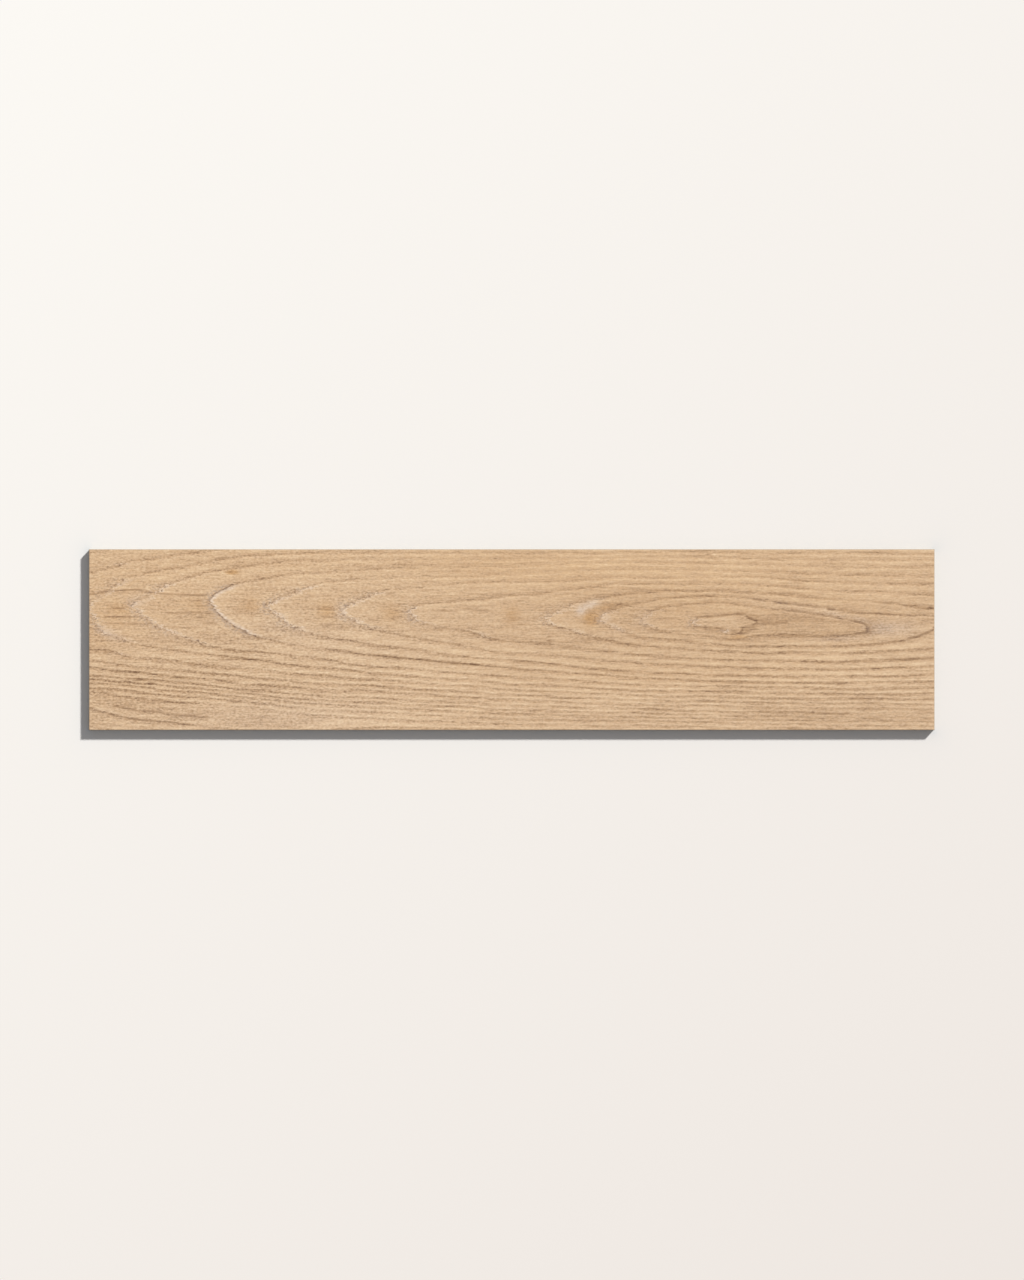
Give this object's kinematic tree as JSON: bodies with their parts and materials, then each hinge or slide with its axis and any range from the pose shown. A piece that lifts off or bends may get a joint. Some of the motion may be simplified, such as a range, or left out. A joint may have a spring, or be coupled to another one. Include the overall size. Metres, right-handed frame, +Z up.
{
  "type": "wood look porcelain plank tile",
  "caption": "Rectified porcelain floor plank with an oak-grain printed face, ground arrises and a ribbed back.",
  "frame": {"origin": "middle of the underside, on the plane of the back ribs that stands on the floor", "axes": "+X along the plank's length and its printed grain, +Y across its width, +Z up out of the walked-on face"},
  "size_m": [0.902, 0.193, 0.0095],
  "materials": {
    "porcelain": "matte"
  },
  "bodies": {
    "root": {"plank_tile": "porcelain"}
  },
  "joints": []
}
